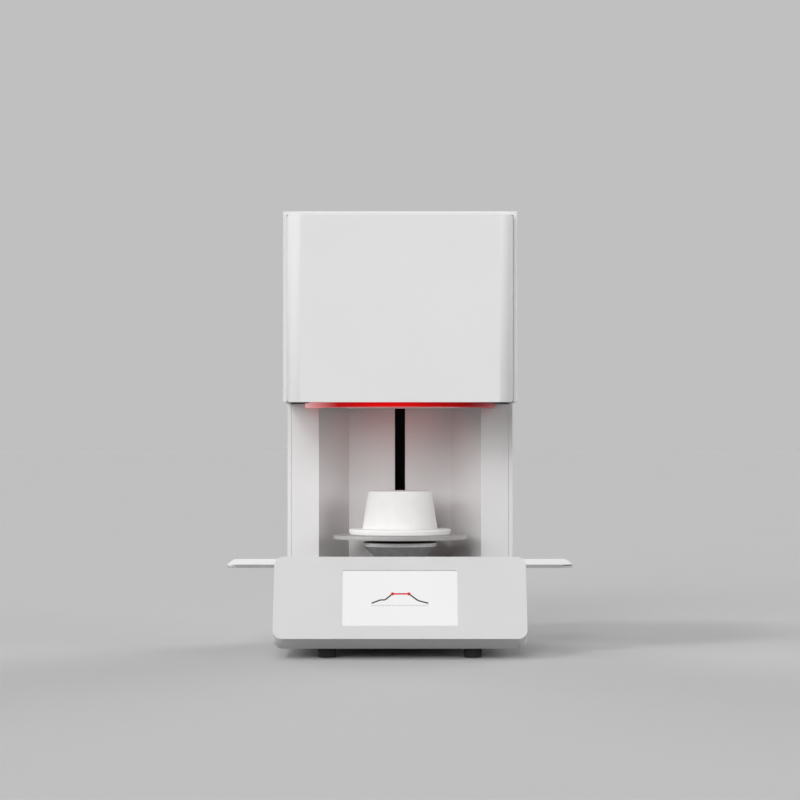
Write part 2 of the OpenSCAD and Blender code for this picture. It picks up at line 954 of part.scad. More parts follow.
module element_clamps() {
    color("silver")
    leg_places()
        translate([0, 0, lid_top + holder_h])
            difference() {
                linear_extrude(clamp_h)
                    rounded_rect(terminal_d + 6, element_w - 4, 2);
                translate([0, 0, -eps])
                    cylinder(d = terminal_d + 2 * running_gap, h = clamp_h + 2 * eps);
            }
}

// Place of one leg of element i, seen from above, side being -1 or 1
function leg_at(i, side) =
    let (a = 360 * (i + 0.5) / element_count)
    element_r * [cos(a), sin(a)] + side * element_w / 2 * [-sin(a), cos(a)];

module element_links() {
    color("peru")
    for (i = [0 : element_count - 2]) {
        a = leg_at(i, 1);
        b = leg_at(i + 1, -1);
        turn = atan2(b[1] - a[1], b[0] - a[0]);
        difference() {
            translate([(a[0] + b[0]) / 2, (a[1] + b[1]) / 2, lid_top + holder_h + clamp_h])
                rotate([0, 0, turn])
                    linear_extrude(link_t)
                        rounded_rect(norm(b - a) + terminal_d + 6, terminal_d + 4, 4);
            for (p = [a, b])
                translate([p[0], p[1], lid_top])
                    cylinder(d = terminal_d + 2 * running_gap, h = terminal_top - lid_top);
        }
    }
}

module thermocouple() {
    color("ivory") {
        translate([0, 0, roof_z - sheath_drop])
            cylinder(d = sheath_d, h = sheath_drop + roof_t + casing_t + 6);
        translate([0, 0, lid_top])
            cylinder(d = 26, h = 6);
        translate([0, 0, lid_top + 6])
            linear_extrude(14)
                rounded_rect(30, 22, 4);
    }
}

module insulating_plug() {
    base_r = plug_base_d / 2;
    top_r = plug_top_d / 2;
    edge = 3;
    color("white")
    rotate_extrude()
        polygon(concat(
            [[0, plug_z], [base_r, plug_z]],
            arc([top_r - edge + 0.4, plug_z + plug_h - edge], edge, 9, 90),
            [[0, plug_z + plug_h]]
        ));
}

module plug_flange() {
    r = flange_d / 2;
    edge = 2.4;
    color("white")
    rotate_extrude()
        polygon(concat(
            [[0, flange_z]],
            arc([r - edge - 0.8, flange_z + edge], edge, -90, 0),
            arc([r - edge, plug_z - edge], edge, 0, 90),
            [[0, plug_z]]
        ));
}

module carrier_plate() {
    r = plate_d / 2;
    edge = 0.5;
    color("silver")
    rotate_extrude()
        polygon([
            [0, plate_z], [r - edge, plate_z], [r, plate_z + edge], [r, flange_z - edge],
            [r - edge, flange_z], [0, flange_z]
        ]);
}

module spacer_ring() {
    brim_r = head_d / 2 - 0.4;
    brim_t = 0.8;
    neck_wall = 3;
    color("black")
    rotate_extrude()
        polygon([
            [head_bore_r, head_top], [brim_r, head_top], [brim_r, head_top + brim_t],
            [head_bore_r + neck_wall, head_top + brim_t], [head_bore_r + neck_wall, plate_z],
            [head_bore_r, plate_z]
        ]);
}

module lift_head() {
    r = head_d / 2;
    rim_step = 0.8;
    cone = head_h - head_rim;
    foot_r = r - rim_step - cone;
    floor_t = 2 * head_t;
    bore = hub_d / 2 + running_gap;
    color("dimgray")
    difference() {
        rotate_extrude()
            polygon([
                [bore, arm_z], [foot_r, arm_z], [r - rim_step, arm_z + cone], [r, arm_z + cone],
                [r, head_top], [head_bore_r, head_top], [head_bore_r, head_top - head_t],
                [r - 4 * head_t, arm_z + cone],
                [foot_r, arm_z + floor_t], [bore, arm_z + floor_t]
            ]);
        translate([-arm_w / 2 - running_gap, 0, arm_z - eps])
            cube([arm_w + 2 * running_gap, r + 1, arm_h + 2 * eps]);
    }
}

module lift_arm() {
    foot_t = 8;
    foot_w = 48;
    foot_rise = 7;
    hub_wall = 9;
    recess = 10;
    root = carriage_front - foot_t;
    color("silver")
    difference() {
        union() {
            translate([0, 0, arm_z])
                cylinder(d = hub_d, h = arm_h);
            translate([-arm_w / 2, 0, arm_z])
                cube([arm_w, root + 1, arm_h]);
            translate([0, root, arm_z + arm_h / 2])
                rotate([-90, 0, 0])
                    linear_extrude(foot_t)
                        rounded_rect(foot_w, arm_h + 2 * foot_rise, 4);
        }
        translate([0, 0, arm_z + arm_h - recess])
            cylinder(d = hub_d - 2 * hub_wall, h = recess + eps);
    }
}

module lift_carriage() {
    color("dimgray")
    difference() {
        translate([0, (carriage_front + carriage_back) / 2, carriage_z])
            linear_extrude(carriage_h)
                rounded_rect(carriage_w, carriage_back - carriage_front, 4);
        translate([-guard_w / 2 - 3, guard_y - 3.5, carriage_z - eps])
            cube([guard_w + 6, guard_t + 5.5, carriage_h + 2 * eps]);
        for (x = [-rod_x, rod_x])
            translate([x, screw_y, carriage_z - eps])
                cylinder(d = rod_d + 2 * bush_t + 2 * running_gap, h = carriage_h + 2 * eps);
        translate([0, screw_y, carriage_z - eps])
            cylinder(d = nut_d + 2 * running_gap, h = carriage_h + 2 * eps);
    }
}

module carriage_bushes() {
    color("peru")
    for (x = [-rod_x, rod_x])
        translate([x, screw_y, carriage_z])
            tube(rod_d / 2 + bush_t, rod_d / 2 + running_gap, carriage_h);
}

module screw_nut() {
    color("peru")
    translate([0, screw_y, carriage_z]) {
        tube(nut_d / 2, screw_r + running_gap, carriage_h - 8);
        translate([0, 0, -2])
            tube(nut_flange_d / 2, screw_r + running_gap, 2);
    }
}

module lead_screw() {
    low = lower_block_z + block_h + 1;
    high = upper_block_z - 1;
    color("silver")
    translate([0, screw_y, 0]) {
        translate([0, 0, low])
            cylinder(r = screw_r, h = high - low);
        translate([0, 0, coupling_z + coupling_l / 2 + 0.5])
            cylinder(r = journal_r, h = upper_block_z + block_h - coupling_z - coupling_l / 2 - 0.5);
        translate([0, 0, low - 1 + sheet_gap])
            cylinder(r = journal_r + 1.5, h = high - low + 2 - 2 * sheet_gap);
    }
}

module shaft_coupling() {
    slit = 1.2;
    color("silver")
    translate([0, screw_y, coupling_z])
        difference() {
            cylinder(d = coupling_d, h = coupling_l);
            translate([0, 0, -eps])
                cylinder(d = motor_shaft_d + 2 * running_gap, h = coupling_l / 2 + 2 * eps);
            translate([0, 0, coupling_l / 2])
                cylinder(r = journal_r + running_gap, h = coupling_l / 2 + eps);
            for (z = [0.3, 0.62])
                translate([0, 0, z * coupling_l])
                    tube(coupling_d, coupling_d / 2 - 3, slit);
        }
}

module motor_shaft() {
    color("silver")
    translate([0, screw_y, bracket_z - 4])
        cylinder(d = motor_shaft_d, h = coupling_z + coupling_l / 2 - bracket_z + 4 - 0.5);
}

module lift_motor() {
    cap = 9;
    color("black")
    translate([0, screw_y, motor_z])
        difference() {
            union() {
                linear_extrude(cap)
                    rounded_rect(motor_w, motor_w, 4);
                translate([0, 0, cap - eps])
                    linear_extrude(motor_h - 2 * cap + 2 * eps)
                        rounded_rect(motor_w - 3, motor_w - 3, 10);
                translate([0, 0, motor_h - cap])
                    linear_extrude(cap)
                        rounded_rect(motor_w, motor_w, 4);
            }
            translate([0, 0, motor_h - 4.5])
                cylinder(d = motor_shaft_d + 2 * running_gap, h = 4.5 + eps);
        }
}

module motor_bracket() {
    front = screw_y - motor_w / 2;
    color("silver")
    difference() {
        translate([-block_hw, front, bracket_z])
            cube([2 * block_hw, frame_back - front, bracket_t]);
        translate([0, screw_y, bracket_z - eps])
            cylinder(d = motor_shaft_d + 8, h = bracket_t + 2 * eps);
    }
}

module lift_frame() {
    cheek = 26;
    channel = [
        [-frame_hw, frame_back - cheek], [-frame_hw, frame_back + frame_t],
        [frame_hw, frame_back + frame_t], [frame_hw, frame_back - cheek]
    ];
    color("black") {
        translate([0, 0, pan_top])
            linear_extrude(housing_z - frame_gap - pan_top)
                folded(channel, frame_t);
        translate([-frame_hw + frame_t - eps, screw_y - 20, pan_top])
            cube([frame_w - 2 * frame_t + 2 * eps, frame_back - screw_y + 20 + eps, frame_t]);
    }
}

module end_block(z) {
    translate([0, 0, z])
        difference() {
            translate([-block_hw, guard_y + guard_t, 0])
                cube([2 * block_hw, frame_back - guard_y - guard_t, block_h]);
            for (x = [-rod_x, rod_x])
                translate([x, screw_y, -eps])
                    cylinder(d = rod_d + 2 * running_gap, h = block_h + 2 * eps);
            translate([0, screw_y, -eps])
                cylinder(r = journal_r + 6 + running_gap, h = block_h + 2 * eps);
        }
}

module end_blocks() {
    color("silver") {
        end_block(lower_block_z);
        end_block(upper_block_z);
    }
}

module screw_bearings() {
    color("gray")
    for (z = [lower_block_z, upper_block_z])
        translate([0, screw_y, z])
            tube(journal_r + 6, journal_r + running_gap, block_h);
}

module guide_rods() {
    color("silver")
    for (x = [-rod_x, rod_x])
        translate([x, screw_y, lower_block_z])
            cylinder(d = rod_d, h = upper_block_z + block_h - lower_block_z);
}

module screw_guard() {
    color("black")
    translate([-guard_w / 2, guard_y, lower_block_z])
        cube([guard_w, guard_t, upper_block_z + block_h - lower_block_z]);
}

module limit_switches() {
    w = (frame_w - 2 * frame_t - carriage_w) / 2 - 0.8;
    color("dimgray")
    for (z = [carriage_z + 6, upper_block_z - 26])
        translate([frame_hw - frame_t - w, frame_back - 24, z])
            cube([w, 20, 16]);
}

module transformer() {
    x = sheet_t + coil_d / 2 + 1 - pan_hw;
    y = 50;
    r = coil_d / 2;
    hole = 17;
    fillet = 10;
    color("peru")
    translate([x, y, pan_top]) {
        rotate_extrude()
            polygon(concat(
                arc([hole + 4, 4], 4, 180, 270),
                arc([r - fillet, fillet], fillet, -90, 0),
                arc([r - fillet, coil_h - fillet], fillet, 0, 90),
                arc([hole + 4, coil_h - 4], 4, 90, 180)
            ));
        translate([0, 0, coil_h])
            cylinder(r = hole + 8, h = 2);
        cylinder(r = 4, h = coil_h + 6);
    }
}

module heat_sink() {
    fins = 12;
    color("silver")
    translate([sink_x, sink_y, pan_top])
        difference() {
            cube([sink_w, sink_l, sink_h]);
            for (i = [0 : fins - 2])
                translate([3 + i * (sink_w - 4) / (fins - 1), -eps, -eps])
                    cube([4, sink_l + 2 * eps, sink_h - 6]);
        }
}

module power_controller() {
    w = 60;
    d = 45;
    h = 20;
    color("dimgray")
    translate([sink_x + (sink_w - w) / 2, sink_y + (sink_l - d) / 2, pan_top + sink_h]) {
        cube([w, d, h]);
        for (x = [w / 4, 3 * w / 4])
            translate([x - w / 8, d / 9, h])
                cube([w / 4, 7 * d / 9, h / 4]);
    }
}

module main_board() {
    w = 170;
    d = 78;
    setback = 58;
    standoff = 8;
    inset = 5;
    top = standoff + 1.6;
    // Place on the board and size of the processor, the relay block and the row of connectors
    blocks = [[16, 20, 28, 28, 3], [60, 12, 40, 24, 18], [10, d - 12, 90, 8, 10]];
    color("green")
    translate([-w / 2, setback - foot_front, pan_top]) {
        for (x = [inset, w - inset])
            for (y = [inset, d - inset])
                translate([x, y, 0])
                    cylinder(r = 3, h = standoff);
        translate([0, 0, standoff])
            cube([w, d, top - standoff]);
        for (b = blocks)
            translate([b[0], b[1], top - eps])
                cube([b[2], b[3], b[4]]);
        for (x = [w - 52 : 10 : w - 12])
            translate([x, d - 26, top - eps])
                cylinder(r = 4, h = 14);
    }
}

module fan_frame() {
    strut = 5;
    color("black")
    to_rear(fan_x, rear_y - sheet_t - fan_t, fan_axis_z) {
        difference() {
            linear_extrude(fan_t)
                rounded_rect(fan_w, fan_w, 5);
            translate([0, 0, -eps])
                cylinder(r = fan_bore_r, h = fan_t + 2 * eps);
            for (x = [-fan_hole, fan_hole])
                for (y = [-fan_hole, fan_hole])
                    translate([x, y, -eps])
                        cylinder(d = 4.3, h = fan_t + 2 * eps);
        }
        difference() {
            union() {
                cylinder(r = 15, h = 3);
                for (a = [45 : 90 : 315])
                    rotate([0, 0, a])
                        translate([10, -strut / 2, 0])
                            cube([fan_bore_r - 8, strut, 3]);
            }
            translate([0, 0, -eps])
                cylinder(r = 2 + running_gap, h = 3 + 2 * eps);
        }
    }
}

// Curved section of one fan blade, its chord laid along x
module blade_section(chord, bend_r, t) {
    sag = bend_r - sqrt(bend_r * bend_r - chord * chord / 4);
    difference() {
        translate([0, -bend_r])
            circle(bend_r);
        translate([0, -bend_r])
            circle(bend_r - t);
        translate([-bend_r, -2 * bend_r - sag])
            square([2 * bend_r, 2 * bend_r]);
    }
}

module fan_rotor() {
    hub = 17;
    low = 4;
    body_l = fan_t - low - 2;
    pitch = 38;
    tip = fan_bore_r - 1;
    color("dimgray")
    to_rear(fan_x, rear_y - sheet_t - fan_t, fan_axis_z) {
        translate([0, 0, low])
            cylinder(r = hub, h = body_l);
        translate([0, 0, 0.5])
            cylinder(r = 2, h = low);
        intersection() {
            translate([0, 0, low])
                cylinder(r = tip, h = body_l);
            for (i = [0 : fan_blades - 1])
                rotate([0, 0, 360 * i / fan_blades])
                    translate([hub - 3, 0, low + body_l / 2])
                        rotate([0, 90, 0])
                            linear_extrude(tip)
                                rotate(pitch)
                                    blade_section(28, 32, 1.6);
        }
    }
}

module fan_guard() {
    wire = 2;
    far = norm([fan_hole, fan_hole]);
    color("silver")
    to_rear(fan_x, rear_y, fan_axis_z) {
        for (r = [10 : 7 : fan_bore_r + 1])
            translate([0, 0, rear_proud - wire / 2])
                rotate_extrude()
                    translate([r, 0])
                        circle(d = wire, $fn = 24);
        for (a = [45 : 90 : 315])
            rotate([0, 0, a]) {
                translate([9, -wire / 2, rear_proud - 1.5 * wire])
                    cube([far - 9, wire, wire]);
                translate([far, 0, rear_proud - 1.5 * wire])
                    cylinder(d = 7, h = wire);
                translate([far, 0, 0])
                    cylinder(d = 5, h = rear_proud - 0.5 * wire);
            }
    }
}

module power_inlet() {
    wall = 2;
    depth = 24;
    pin_l = 16;
    color("black")
    to_rear(-inlet_x, rear_y, inlet_axis_z) {
        difference() {
            union() {
                linear_extrude(inlet_t - 0.5)
                    rounded_rect(inlet_w + 18, inlet_h + 6, 3);
                translate([0, 0, -depth])
                    linear_extrude(depth + 1)
                        rounded_rect(inlet_w, inlet_h, 2);
            }
            translate([0, 0, -depth + 4])
                linear_extrude(depth + inlet_t)
                    rounded_rect(inlet_w - 2 * wall, inlet_h - 2 * wall, 2);
        }
        for (x = [-8, 8])
            translate([x - 1, -2, -depth + 4 - eps])
                cube([2, 6, pin_l]);
        translate([-3, -5, -depth + 4 - eps])
            cube([6, 2, pin_l]);
    }
}

module switch_housing() {
    depth = 16;
    outer = [pocket_w, pocket_h] + 2 * switch_wall * [1, 1];
    color("black")
    to_rear(-switch_x, rear_y, inlet_axis_z)
        difference() {
            union() {
                linear_extrude(2)
                    rounded_rect(outer[0] + 6, outer[1] + 6, 2);
                translate([0, 0, -depth])
                    linear_extrude(depth + 1)
                        square(outer, center = true);
            }
            translate([0, 0, -depth + 2])
                linear_extrude(depth + 2)
                    square([pocket_w, pocket_h], center = true);
            translate([0, 0, rocker_pivot_y - rear_y])
                rotate([0, 90, 0])
                    cylinder(r = 1.5 + running_gap, h = pocket_w + 2.4, center = true);
        }
}

module switch_rocker() {
    w = pocket_w - 2 * sheet_gap;
    reach = 11.2;
    color("black")
    translate([-switch_x, rocker_pivot_y, inlet_axis_z])
        rotate([-rocker_swing / 2, 0, 0]) {
            along_x(w)
                polygon([[-4, -3], [4.8, -reach], [5.6, -reach + 0.8], [4.2, 0],
                    [5.6, reach - 0.8], [4.8, reach], [-4, 3]]);
            rotate([0, 90, 0])
                cylinder(r = 1.5, h = w + 2.2, center = true);
        }
}

base_pan();
base_shell();
front_fascia();
touch_screen();
display_module();
display_bracket();
rubber_feet();
foot_screws();
left_shelf();
right_shelf();
shelf_screws();
outer_wrap();
front_cover();
alcove_liner();
rear_cover();
rear_screws();
housing_floor();
status_light_ring();
led_board();
mouth_collar();
throat_insulation();
side_insulation();
roof_insulation();
chamber_casing();
casing_lid();
heating_elements();
element_holders();
element_clamps();
element_links();
thermocouple();
insulating_plug();
plug_flange();
carrier_plate();
spacer_ring();
lift_head();
lift_arm();
lift_carriage();
carriage_bushes();
screw_nut();
lead_screw();
shaft_coupling();
motor_shaft();
lift_motor();
motor_bracket();
lift_frame();
end_blocks();
screw_bearings();
guide_rods();
screw_guard();
limit_switches();
transformer();
power_controller();
heat_sink();
main_board();
fan_frame();
fan_rotor();
fan_guard();
power_inlet();
switch_housing();
switch_rocker();
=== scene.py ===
import json
import math

import bmesh
import bpy
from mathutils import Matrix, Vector


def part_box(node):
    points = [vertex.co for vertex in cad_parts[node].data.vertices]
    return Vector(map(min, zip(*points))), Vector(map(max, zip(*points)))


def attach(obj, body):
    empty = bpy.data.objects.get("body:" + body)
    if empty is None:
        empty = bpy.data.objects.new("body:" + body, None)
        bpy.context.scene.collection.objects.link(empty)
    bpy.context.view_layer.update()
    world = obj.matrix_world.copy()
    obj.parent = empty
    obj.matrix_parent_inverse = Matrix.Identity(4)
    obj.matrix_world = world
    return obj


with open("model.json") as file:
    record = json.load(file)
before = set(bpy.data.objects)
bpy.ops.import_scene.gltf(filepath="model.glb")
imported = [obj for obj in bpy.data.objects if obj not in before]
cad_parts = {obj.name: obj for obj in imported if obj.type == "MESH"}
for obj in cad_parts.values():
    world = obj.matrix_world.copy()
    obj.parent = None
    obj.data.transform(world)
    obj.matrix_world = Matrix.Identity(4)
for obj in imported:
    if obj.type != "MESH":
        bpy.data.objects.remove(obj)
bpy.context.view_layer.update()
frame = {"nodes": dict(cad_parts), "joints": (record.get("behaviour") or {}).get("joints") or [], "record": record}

NODES = frame["nodes"]
MM = 0.001
MICRON = 0.000001

# The photograph's view: a long lens in front of the lift axis, tilted up a little
CAMERA_BACK = 3.915
CAMERA_HEIGHT = 0.298
FOCAL_PIXELS = 2800
HORIZON_ROW = 436
PICTURE = 800
SENSOR = 36.0

# Far lamps: azimuth (0 in front, 90 on the right), elevation and width in the sky, all in degrees, then
# how bright each alone makes a white sheet that faces it, where 1 is full white
FAR_LAMPS = {
    "key": (-48, 46, 12, 0.22),
    "side_box": (-75, 20, 34, 0.24),
    "left_box": (-42, 13, 14, 0.12),
    "front_box": (-22, 14, 24, 0.33),
    "upper_box": (-10, 27, 16, 0.20),
    "right_box": (76, 12, 36, 0.26),
    "fill_box": (48, 13, 22, 0.15),
    "top_box": (20, 80, 40, 0.08),
    "back_box": (140, 14, 40, 0.55),
    "rear_box": (-150, 20, 30, 0.25),
}
# How far off they stand, in metres
LAMP_DISTANCE = 8

# The ring's glow on the alcove's back wall: one lamp, its size in metres, and in millimetres how far it
# is in front of the collar's back and under the ring, and how far back and down its target is
GLOW_LEVEL = 0.38
GLOW_COLOUR = (1, 0.03, 0.03)
GLOW_SIZE = (0.12, 0.03)
GLOW_INSET = 45
GLOW_UNDER = 3
GLOW_REACH = 30
GLOW_DROP = 45

# The room: the level that the camera sees, the light from all round, and what metal and glass mirror
BACKGROUND = 0.527
AMBIENT_LEVEL = 0.04
AMBIENT_BEHIND = 0.32
AMBIENT_WAY = (0, 0.96, 0.28)
AMBIENT_SPAN = (0.1, 1.0)
MIRROR_DARK = 0.1
MIRROR_BRIGHT = 1.1
MIRROR_WAY = (-0.62, 0.5, 0.6)
MIRROR_SPAN = (-0.6, 0.8)
WHITE = (1, 1, 1, 1)

# The floor: the grey that it shows, the grey that it throws back up, and its size in metres
FLOOR_COLOUR = 0.555
FLOOR_BOUNCE = 0.31
FLOOR_RADIUS = 60.0
FLOOR_SIDES = 96

# Measures of the solids that marks and materials follow, with lengths in millimetres
CONSOLE_TILT = math.radians(30)
GLASS_THICKNESS = 2.0
# The height of the lift head's rim, down to where its painted highlight meets its painted shade
HEAD_RIM = 5.1
ROCKER_TILT = math.radians(12)
ROCKER_VALLEY = 4.2
ROCKER_RISE = 1.4
ROCKER_REACH = 10.4

# The screen's drawing, in millimetres: across from the middle, and up the glass from its lower edge.
# The steps in the curve are measured up from its foot, and the scale and its ticks down from there.
CURVE_HALF_WIDTH = 38
CURVE_MIDDLE = 46.6
CURVE_HALF_HEIGHT = 7
CURVE_LINE = 2.0
FIRST_STEP = (-26, 5)
SECOND_STEP = (-20, 5)
COOLING_STEP = (24, 4)
RISE_ROUNDING = 2.0
FALL_ROUNDING = 3.0
HOLD_START = -10
HOLD_END = 12
HOLD_LINE = 2.2
HOLD_DOT = 2.3
SCALE_DROP = 3
SCALE_OVERHANG = 0.2
SCALE_LINE = 0.5
TICK_STEP = 4
TICK_TOP = 3.2
TICK_FOOT = 4.6
TICK_LINE = 0.6

# The rocker's marks, in millimetres up and down from the line where its two faces meet
ON_FROM = 3.6
ON_TO = 8.2
ON_LINE = 0.9
OFF_MIDDLE = -5.9
OFF_RADIUS = 2.3
OFF_LINE = 0.8

# How far the tops of marks, and their feet, stand out of the surface, in millimetres
CURVE_OUT = 0.14
HOLD_OUT = 0.16
SCALE_OUT = 0.1
ROCKER_OUT = 0.08
MARK_FOOT = 0.02

# Sleeves over the inlet's contacts, in millimetres: place and size across, depths under its rear face
SLEEVE_LONG = 6.3
SLEEVE_SHORT = 2.3
SLEEVES = (
    (-8, -1, SLEEVE_SHORT, SLEEVE_LONG),
    (8, -1, SLEEVE_SHORT, SLEEVE_LONG),
    (0, 4, SLEEVE_LONG, SLEEVE_SHORT),
)
SLEEVE_FOOT = 22.4
SLEEVE_TIP = 6.3
SLEEVE_LEAD = 0.4

# Where most values of a noise lie, a narrower part of them, and where the sum of two noises lies
SPREAD = (0.3, 0.7)
NARROW = (0.35, 0.65)
SUMMED = (0.7, 1.3)

# Eased edges: points closer than the weld are joined, and faces within the flat angle count as one
WELD = 10 * MICRON
FLAT_ANGLE = math.radians(0.6)
EDGE_ANGLE = math.radians(32)
EASE_SEGMENTS = 2


class Nodes:
    """Adds nodes to a material or a world."""

    def __init__(self, tree):
        self.tree = tree

    def node(self, kind, settings=(), inputs=()):
        """A new node, with its settings, and each input linked to a socket or set to a value."""
        made = self.tree.nodes.new(kind)
        for name, value in dict(settings).items():
            setattr(made, name, value)
        for name, value in dict(inputs).items():
            if isinstance(value, bpy.types.NodeSocket):
                self.tree.links.new(value, made.inputs[name])
            else:
                made.inputs[name].default_value = value
        return made

    def calc(self, operation, *values):
        """One step of arithmetic on sockets and numbers."""
        return self.node("ShaderNodeMath", {"operation": operation}, dict(enumerate(values))).outputs[0]

    def span(self, source, low, high, to_low, to_high):
        """The source, carried from one range of numbers to another and held within it."""
        inputs = {"Value": source, "From Min": low, "From Max": high}
        inputs.update({"To Min": to_low, "To Max": to_high})
        return self.node("ShaderNodeMapRange", inputs=inputs).outputs["Result"]


class Paint(Nodes):
    """A node material under construction, built round its Principled shader."""

    def __init__(self, name, colour, roughness, metallic=0.0):
        self.material = bpy.data.materials.new(name)
        self.material.use_nodes = True
        super().__init__(self.material.node_tree)
        self.shader = self.tree.nodes["Principled BSDF"]
        self.place = self.node("ShaderNodeTexCoord").outputs["Object"]
        self.colour = colour
        self.roughness = roughness
        self.set("Base Color", (*colour, 1.0))
        self.set("Roughness", roughness)
        self.set("Metallic", metallic)

    def set(self, name, value):
        self.shader.inputs[name].default_value = value

    def link(self, source, name):
        self.tree.links.new(source, self.shader.inputs[name])

    def stretched(self, per_metre):
        """The place, scaled on each axis by the features to the metre."""
        inputs = {"Vector": self.place, "Scale": per_metre}
        return self.node("ShaderNodeMapping", inputs=inputs).outputs["Vector"]

    def axes(self):
        """The place's X, Y and Z, each by itself."""
        return self.node("ShaderNodeSeparateXYZ", inputs={"Vector": self.place}).outputs

    def noise(self, per_metre, detail, roughness=0.5, along=(1, 1, 1)):
        """Soft noise, drawn out on each axis where along is less than 1."""
        where = self.stretched(tuple(per_metre * a for a in along))
        inputs = {"Vector": where, "Scale": 1.0, "Detail": detail, "Roughness": roughness}
        return self.node("ShaderNodeTexNoise", inputs=inputs).outputs["Fac"]

    def cells(self, per_metre):
        """Small round cells, by the distance from the middle of each."""
        inputs = {"Vector": self.stretched((per_metre, per_metre, per_metre)), "Scale": 1.0}
        return self.node("ShaderNodeTexVoronoi", inputs=inputs).outputs["Distance"]

    def waves(self, source, pitch):
        """A sine of the source, with one wave in each pitch."""
        return self.calc("SINE", self.calc("MULTIPLY", source, 2 * math.pi / pitch))

    def share(self, source, spread=SPREAD):
        """The source as a share from 0 to 1 of its spread."""
        return self.span(source, *spread, 0, 1)

    def blend(self, share, first, second):
        """A mix of two colours, by the share of the second."""
        made = self.node("ShaderNodeMix", {"data_type": "RGBA"})
        for index, value in ((0, share), (6, first), (7, second)):
            if isinstance(value, bpy.types.NodeSocket):
                self.tree.links.new(value, made.inputs[index])
            else:
                made.inputs[index].default_value = value if index == 0 else (*value, 1.0)
        return made.outputs[2]

    def tint(self, share, darker, lighter):
        """Lets the base colour run between two shades of itself."""
        shades = (shade(self.colour, darker), shade(self.colour, lighter))
        self.link(self.blend(share, *shades), "Base Color")

    def polish(self, source, less, more, spread=SPREAD):
        """Lets the roughness run from a little less to a little more than its own value."""
        self.link(self.span(source, *spread, self.roughness - less, self.roughness + more), "Roughness")

    def bump(self, height, distance, strength, under=None):
        """A bump of the given distance in metres, over another one where that is given."""
        inputs = {"Height": height, "Distance": distance, "Strength": strength}
        if under:
            inputs["Normal"] = under
        return self.node("ShaderNodeBump", inputs=inputs).outputs["Normal"]

    def relief(self, height, distance, strength, under=None):
        """Gives the surface its bump."""
        self.link(self.bump(height, distance, strength, under), "Normal")


def shade(colour, factor):
    """A colour made darker or lighter, and never brighter than white."""
    return tuple(min(1.0, c * factor) for c in colour)


def grey(level):
    """A neutral colour."""
    return (level, level, level)


def powder_coat(name, colour, roughness, gloss=0.45):
    """Baked powder on sheet metal: a low orange peel and a very slight cloudiness."""
    paint = Paint(name, colour, roughness)
    clouds = paint.noise(per_metre=7, detail=3)
    haze = paint.noise(per_metre=90, detail=3)
    peel = paint.noise(per_metre=420, detail=2)
    dust = paint.noise(per_metre=2600, detail=1)
    paint.tint(paint.share(clouds), darker=0.985, lighter=1.01)
    paint.polish(haze, less=0.03, more=0.03)
    waviness = paint.bump(peel, distance=60 * MICRON, strength=0.35)
    paint.relief(dust, distance=10 * MICRON, strength=0.4, under=waviness)
    paint.set("Specular IOR Level", gloss)
    return paint.material


def moulding(name, colour, roughness, grain=1900):
    """Moulded plastic with a fine eroded grain."""
    paint = Paint(name, colour, roughness)
    flow = paint.noise(per_metre=11, detail=2)
    paint.tint(paint.share(flow), darker=0.985, lighter=1.01)
    paint.polish(paint.noise(per_metre=grain, detail=2), less=0.04, more=0.05)
    paint.relief(paint.cells(grain), distance=20 * MICRON, strength=0.35)
    return paint.material


def brushed(name, colour, roughness, along=(0.012, 1, 1)):
    """Metal sheet with hairlines along one axis."""
    paint = Paint(name, colour, roughness, metallic=1.0)
    lines = paint.noise(per_metre=2400, detail=4, roughness=0.65, along=along)
    bands = paint.noise(per_metre=160, detail=3, roughness=0.6, along=along)
    paint.tint(paint.share(lines), darker=0.86, lighter=1.08)
    paint.polish(paint.calc("ADD", lines, bands), less=0.07, more=0.09, spread=SUMMED)
    paint.relief(lines, distance=20 * MICRON, strength=0.35)
    return paint.material


def turned(name, colour, roughness, metallic=0.5, pitch=0.6 * MM):
    """Blasted metal, faced on a lathe: fine rings round the lift axis."""
    paint = Paint(name, colour, roughness, metallic)
    paint.set("Specular IOR Level", 0.3)
    flat = paint.stretched((1, 1, 0))
    radius = paint.node("ShaderNodeVectorMath", {"operation": "LENGTH"}, {0: flat}).outputs["Value"]
    wear = paint.noise(per_metre=35, detail=4)
    paint.tint(paint.share(wear, NARROW), darker=0.93, lighter=1.05)
    paint.polish(wear, less=0.05, more=0.06)
    paint.relief(paint.waves(radius, pitch), distance=4 * MICRON, strength=0.2)
    return paint.material


def cast_metal(name, colour, roughness, metallic=1.0):
    """Machined or plated metal with small scuffs."""
    paint = Paint(name, colour, roughness, metallic)
    scuffs = paint.noise(per_metre=240, detail=4, roughness=0.6)
    skin = paint.noise(per_metre=1500, detail=3)
    paint.tint(paint.share(scuffs, NARROW), darker=0.88, lighter=1.06)
    paint.polish(scuffs, less=0.05, more=0.08)
    paint.relief(skin, distance=20 * MICRON, strength=0.25)
    return paint.material


def dish_with_painted_light(name, painted_rim_highlight, painted_shaded_cone, roughness):
    """Turned aluminium with lathe rings, given a painted highlight on its rim and painted shade on the cone below.
    """
    step = 0.3 * MM
    pitch = 0.5 * MM
    paint = Paint(name, painted_rim_highlight, roughness, metallic=0.5)
    height = paint.axes()["Z"]
    rim_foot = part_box("lift_head")[1].z - HEAD_RIM * MM
    on_painted_highlight = paint.span(height, rim_foot - step, rim_foot, 0.0, 1.0)
    wear = paint.share(paint.noise(per_metre=90, detail=4), NARROW)
    # Painted shade on the cone and a painted highlight on the rim, for how light falls on them; the wear noise
    # varies both
    dark = paint.blend(wear, shade(painted_shaded_cone, 0.9), shade(painted_shaded_cone, 1.08))
    light = paint.blend(wear, shade(painted_rim_highlight, 0.96), shade(painted_rim_highlight, 1.03))
    paint.link(paint.blend(on_painted_highlight, dark, light), "Base Color")
    paint.polish(wear, less=0.05, more=0.06, spread=(0, 1))
    paint.relief(paint.waves(height, pitch), distance=4 * MICRON, strength=0.25)
    return paint.material


